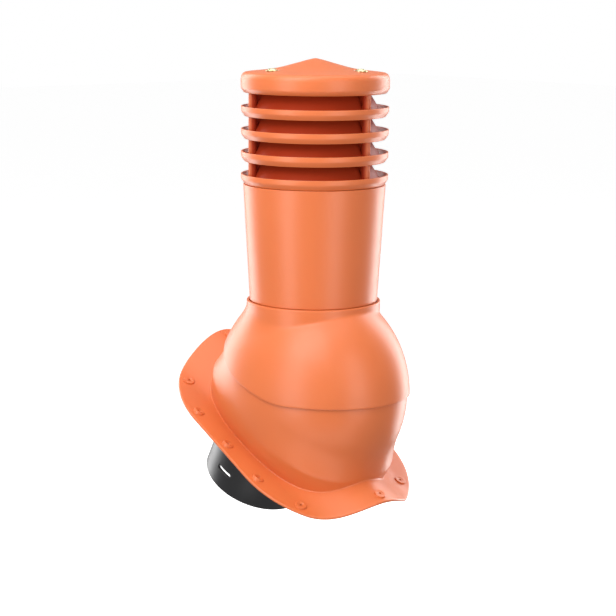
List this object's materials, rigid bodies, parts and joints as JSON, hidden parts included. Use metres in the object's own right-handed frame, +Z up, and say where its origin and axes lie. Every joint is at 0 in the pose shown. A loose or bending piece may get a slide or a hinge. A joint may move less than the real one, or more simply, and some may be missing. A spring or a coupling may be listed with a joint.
{
  "type": "roof vent pipe",
  "caption": "Terracotta plastic roof vent pipe with a louvred head and a tilting round hood on an arched tile flange, and a black duct spigot below.",
  "frame": {"origin": "on the underside of the roof flange, on its arch's crest, in front of the dome", "axes": "+X down the roof slope, level; +Y across the slope; +Z up along the vent pipe"},
  "size_m": [0.287, 0.222, 0.5315],
  "materials": {
    "terracotta": "semi-gloss moulded plastic",
    "black_plastic": "satin moulded plastic",
    "yellow_zinc": "yellow passivated"
  },
  "bodies": {
    "base": {"base": "terracotta", "duct_spigot": "black_plastic"},
    "head": {"hood": "terracotta", "outer_pipe": "terracotta", "louvre_ring_1": "terracotta", "louvre_ring_2": "terracotta", "louvre_ring_3": "terracotta", "louvre_ring_4": "terracotta", "cap": "terracotta", "cap_screw_1": "yellow_zinc", "cap_screw_2": "yellow_zinc", "cap_screw_3": "yellow_zinc"}
  },
  "joints": [
    {"name": "pitch_hinge", "type": "hinge", "parent": "base", "child": "head", "pos_m": [-0.09886, 0, 0.0989], "axis": [0, 1, 0], "range_deg": [-3, 12]}
  ]
}
